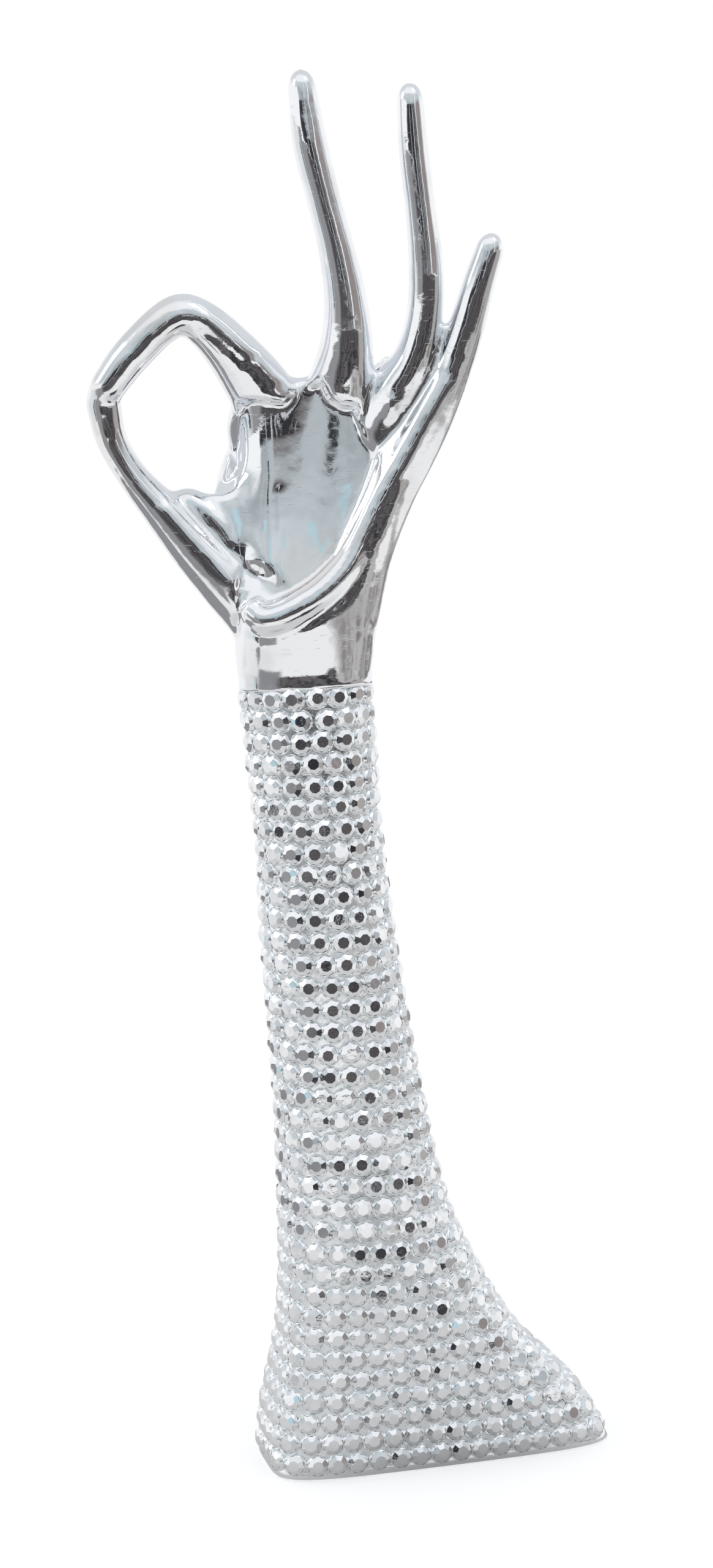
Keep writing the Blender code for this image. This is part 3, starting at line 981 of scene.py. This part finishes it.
class STAND_OT_press_studs(bpy.types.Operator):
    """Sets the rows of faceted studs on the sleeve"""

    bl_idname = "stand.press_studs"
    bl_label = "Press Studs"

    def execute(self, context):
        size = settings().studs
        places, outwards = row_points()
        obj = mesh_object("studs", places * MM, [])
        marks = obj.data.attributes.new("outward", "FLOAT_VECTOR", "POINT")
        marks.data.foreach_set("vector", outwards.astype(np.float32).reshape(-1))
        garden = stud_tree()
        modifier = obj.modifiers.new("studs", "NODES")
        modifier.node_group = garden.tree
        values = {
            "Radius": size.radius, "Crown": size.crown, "Table": size.table, "Rise": size.rise,
            "Tilt": size.tilt, "Seed": size.seed, "Material": stud_plate(),
        }
        for name, value in values.items():
            modifier[garden.sockets[name]] = value
        obj = plain_mesh(obj, "studs")
        if not obj.data.polygons:
            raise RuntimeError("the studs' tree made no faces")
        finish_piece(obj)
        return {"FINISHED"}


def stage_frame(board, way):
    """A direction turned to the stage's fixed front, and its parts right, away and up."""
    turned = board.node("ShaderNodeMapping", Vector=way, Rotation=(0.0, 0.0, -settings().stage.azimuth))
    parts = board.add("ShaderNodeSeparateXYZ")
    board.feed(parts.inputs[0], turned)
    return turned, [Flow(board, parts.outputs[k]) for k in range(3)]


def angle_round(board, right, away):
    """The angle from the stage's front, positive to the right."""
    angle = board.add("ShaderNodeMath", operation="ARCTAN2")
    board.feed(angle.inputs[0], right)
    board.feed(angle.inputs[1], away * -1)
    return Flow(board, angle.outputs[0])


# Near black for the room's dark patches and for the painted dark reflections on the reflection card
NEAR_BLACK = (0.035, 0.035, 0.04, 1.0)
WHITE = (1.0, 1.0, 1.0, 1.0)
SKY = (0.50, 0.70, 0.77, 1.0)


def studio_world():
    """A pale room, white to the camera: blue-grey before the stand, dark along the horizon."""
    world = bpy.data.worlds.new("studio")
    bpy.context.scene.world = world
    world.use_nodes = True
    world.node_tree.nodes.clear()
    board = Board(world.node_tree)
    turned, (right, away, up) = stage_frame(board, board.node("ShaderNodeTexCoord", output=0))
    angle = angle_round(board, right, away)
    blots = board.noise(turned, 3.0, 3.0, 0.6)
    bars = board.noise(board.stretch(turned, (9.0, 9.0, 0.8)), 1.0, 2.0, 0.5)
    tone = board.ramp(up, 0.16, 0.40) * 0.6 + board.ramp(blots, 0.35, 0.65) * 0.4
    colour = board.mix(tone, (0.36, 0.40, 0.42, 1.0), (0.66, 0.71, 0.74, 1.0))

    def patch(below, above, low, high, bottom, top, soft=0.06):
        share = board.between(angle, low, high, soft) * board.between(up, bottom, top, soft)
        return board.mix(share, below, above)

    brown = board.mix(blots, (0.16, 0.13, 0.125, 1.0), (0.42, 0.39, 0.38, 1.0))
    colour = patch(colour, brown, 0.55, 1.9, -1.0, 0.22, 0.08)
    colour = patch(colour, (0.98, 0.99, 1.0, 1.0), -1.9, -0.60, -0.30, 0.25, 0.10)
    shade = board.mix(board.ramp(blots, 0.42, 0.60), NEAR_BLACK, (0.20, 0.19, 0.19, 1.0))
    colour = patch(colour, shade, 0.20, 0.62, -0.45, 0.16, 0.05)
    colour = patch(colour, (0.95, 0.96, 0.97, 1.0), 0.66, 0.76, -0.45, 0.60, 0.02)
    dark = board.mix(board.ramp(bars, 0.56, 0.62), NEAR_BLACK, (0.55, 0.56, 0.58, 1.0))
    colour = patch(colour, dark, -0.62, 0.66, -0.45, 0.09, 0.03)
    colour = patch(colour, SKY, -0.30, -0.18, 0.26, 0.33, 0.02)
    colour = patch(colour, SKY, -0.02, 0.10, 0.36, 0.44, 0.02)
    colour = patch(colour, (0.03, 0.03, 0.035, 1.0), -0.12, -0.05, 0.16, 0.22, 0.02)
    colour = board.mix(board.ramp(up, 0.52, 0.70), colour, (0.95, 0.97, 1.0, 1.0))
    behind = board.mix(board.ramp(up, 0.10, 0.45), WHITE, (0.72, 0.75, 0.78, 1.0))
    colour = board.mix(board.ramp(away, -0.25, 0.10), colour, behind)
    colour = board.mix(board.node("ShaderNodeLightPath"), colour, WHITE)
    shine = board.node("ShaderNodeBackground", Color=colour, Strength=1.0)
    board.feed(board.add("ShaderNodeOutputWorld").inputs[0], shine)


def only_in_reflections(obj):
    """Seen by the plating alone, so it neither shows in the picture nor shades the table."""
    obj.visible_camera = False
    obj.visible_diffuse = False
    obj.visible_shadow = False
    obj.visible_transmission = False


def stage_floor():
    """A wide white table that keeps the stand's faint shadow."""
    wide = 6.0
    points = [(-wide, -wide, 0.0), (wide, -wide, 0.0), (wide, wide, 0.0), (-wide, wide, 0.0)]
    material, board, shader = new_material(
        "pale_table", Base_Color=(0.82, 0.82, 0.82, 1.0), Roughness=0.9, Specular_IOR_Level=0.1,
        Emission_Strength=0.37,
    )
    glow = board.mix(board.seen(), (0.0, 0.0, 0.0, 1.0), (1.0, 0.985, 0.975, 1.0))
    board.feed(shader.inputs["Emission Color"], glow)
    floor = mesh_object("table", points, [(0, 1, 2, 3)], material)
    floor.location.z = -0.0002


def stage_front():
    """A glowing card that paints the table's reflection for the plating alone: painted shadow grey at the
    foot, then pale, and dark past its edge.
    """
    reach, steps = 5.8, 96
    points = [(0.0, 0.0, 0.0005)]
    faces = []
    for k in range(steps):
        angle = 2 * math.pi * k / steps
        points.append((math.sin(angle) * reach, -math.cos(angle) * reach, 0.0005))
        faces.append((0, k + 1, (k + 1) % steps + 1))
    material, board, shader = new_material(
        "painted_reflection_card", Base_Color=(0.0, 0.0, 0.0, 1.0), Specular_IOR_Level=0.0,
        Emission_Strength=1.0,
    )
    place = board.node("ShaderNodeTexCoord", output=3)
    turned, (right, away, up) = stage_frame(board, place)
    angle = angle_round(board, right, away)
    far = board.node("ShaderNodeVectorMath", {"operation": "LENGTH"}, output=1, Vector=turned)
    # Everything this card shows is painted reflection: it glows, and only the plating sees it.
    blots = board.noise(turned, 5.0, 3.0, 0.6)
    # Painted reflection beyond the table's edge: near black before the stand, greys and pale strips to the
    # sides.
    middle = board.mix(board.ramp(blots, 0.4, 0.6), NEAR_BLACK, (0.14, 0.13, 0.13, 1.0))
    front = board.mix(board.ramp(angle, -0.60, -0.35), (0.30, 0.30, 0.31, 1.0), middle)
    front = board.mix(board.ramp(angle, 0.95, 1.15), front, (0.42, 0.40, 0.39, 1.0))
    front = board.mix(board.ramp(angle, -1.25, -0.95), (0.80, 0.81, 0.82, 1.0), front)
    # Painted reflection: a dark line and a blue-grey strip on the near table to the left.
    lit = board.ramp(far, 2.3, 2.6, 1.0, 0.0)
    front = board.mix(lit * board.between(angle, -1.20, -1.12, 0.02), front, (0.06, 0.06, 0.065, 1.0))
    front = board.mix(lit * board.between(angle, -1.31, -1.25, 0.02), front, SKY)
    sides = board.ramp(angle, -2.1, -1.7) * board.ramp(angle, 1.7, 2.1, 1.0, 0.0)
    past = board.mix(sides, (0.96, 0.97, 0.98, 1.0), front)
    # Painted shadow: the reflected table is grey round the foot and pales further out.
    table = board.mix(board.ramp(far, 0.010, 0.060), (0.30, 0.30, 0.305, 1.0), (0.66, 0.66, 0.66, 1.0))
    table = board.mix(board.ramp(far, 0.14, 0.30), table, (0.90, 0.90, 0.90, 1.0))
    # Painted reflection: darker grey patches on the reflected table, to the left and before the stand.
    beside = board.between(angle, -2.4, -1.15, 0.06) * board.between(far, 0.215, 0.355, 0.01)
    before = board.between(angle, -1.06, -0.40, 0.08) * board.ramp(far, 0.33, 0.39)
    table = board.mix(beside + before, table, (0.29, 0.29, 0.30, 1.0))
    shade = board.between(angle, 0.12, 0.78, 0.08) * board.between(far, 0.165, 0.245, 0.012)
    table = board.mix(shade, table, (0.05, 0.05, 0.055, 1.0))
    # Painted reflection: a brownish patch far off to the right.
    brown = board.mix(board.ramp(blots, 0.4, 0.6), (0.22, 0.20, 0.195, 1.0), (0.50, 0.49, 0.48, 1.0))
    table = board.mix(board.ramp(angle, 0.42, 0.60) * board.ramp(far, 0.46, 0.52), table, brown)
    edge = far + blots * 0.06 - board.ramp(angle, 0.42, 0.60) * 0.14
    board.feed(shader.inputs["Emission Color"], board.mix(board.ramp(edge, 0.60, 0.64), table, past))
    card = mesh_object("painted_reflection_card", points, faces, material)
    only_in_reflections(card)


def stage_camera():
    """The camera, just above the height of the fingertips and to the left."""
    stage = settings().stage
    data = bpy.data.cameras.new("camera")
    data.sensor_width = 36.0
    data.lens = stage.lens
    data.shift_x = stage.shift
    camera = bpy.data.objects.new("camera", data)
    bpy.context.scene.collection.objects.link(camera)
    away = Vector((math.sin(stage.azimuth), -math.cos(stage.azimuth), 0.0))
    camera.location = away * stage.distance + Vector((0.0, 0.0, stage.height))
    camera.rotation_euler = (math.pi / 2 - stage.pitch, 0.0, stage.azimuth)
    bpy.context.scene.camera = camera


def stage_lamp(name, azimuth, elevation, distance, width, power):
    """A soft box that looks at the stand's middle."""
    data = bpy.data.lights.new(name, "AREA")
    data.shape = "SQUARE"
    data.size = width
    data.energy = power
    lamp = bpy.data.objects.new(name, data)
    bpy.context.scene.collection.objects.link(lamp)
    a, e = math.radians(azimuth), math.radians(elevation)
    away = Vector((math.sin(a) * math.cos(e), -math.cos(a) * math.cos(e), math.sin(e)))
    lamp.location = away * distance + Vector((0.0, 0.0, 0.15))
    lamp.rotation_euler = away.to_track_quat("Z", "Y").to_euler()
    lamp.visible_camera = False


class STAND_OT_set_stage(bpy.types.Operator):
    """Sets the table, the room, the lamps and the camera"""

    bl_idname = "stand.set_stage"
    bl_label = "Set Stage"

    def execute(self, context):
        context.scene.view_settings.view_transform = "Standard"
        studio_world()
        stage_floor()
        stage_front()
        stage_camera()
        stage_lamp("left_window", -95.0, 30.0, 1.2, 0.45, 1.3)
        stage_lamp("top_window", 40.0, 62.0, 1.1, 0.30, 0.6)
        return {"FINISHED"}


class STAND_PT_panel(bpy.types.Panel):
    bl_label = "Hand Jewelry Stand"
    bl_idname = "STAND_PT_panel"
    bl_space_type = "VIEW_3D"
    bl_region_type = "UI"
    bl_category = "Stand"

    def draw(self, context):
        layout = self.layout
        size = settings()
        for group in (size.sleeve, size.studs, size.hand, size.finishes, size.stage):
            box = layout.box()
            for name in group.bl_rna.properties.keys():
                if name not in ("rna_type", "name"):
                    box.prop(group, name)
        for step in STEPS:
            layout.operator(step.bl_idname)


STEPS = (STAND_OT_cast_hand, STAND_OT_cast_sleeve, STAND_OT_press_studs, STAND_OT_set_stage)
CLASSES = (SleeveSizes, StudSizes, HandSizes, Finishes, StageSizes, StandSettings, *STEPS, STAND_PT_panel)


def register():
    for item in CLASSES:
        bpy.utils.register_class(item)
    bpy.types.Scene.jewelry_stand = PointerProperty(type=StandSettings)


def unregister():
    del bpy.types.Scene.jewelry_stand
    for item in reversed(CLASSES):
        bpy.utils.unregister_class(item)


def main():
    register()
    bpy.ops.stand.cast_hand()
    bpy.ops.stand.cast_sleeve()
    bpy.ops.stand.press_studs()
    bpy.ops.stand.set_stage()
    bpy.context.view_layer.update()


if __name__ == "__main__":
    main()
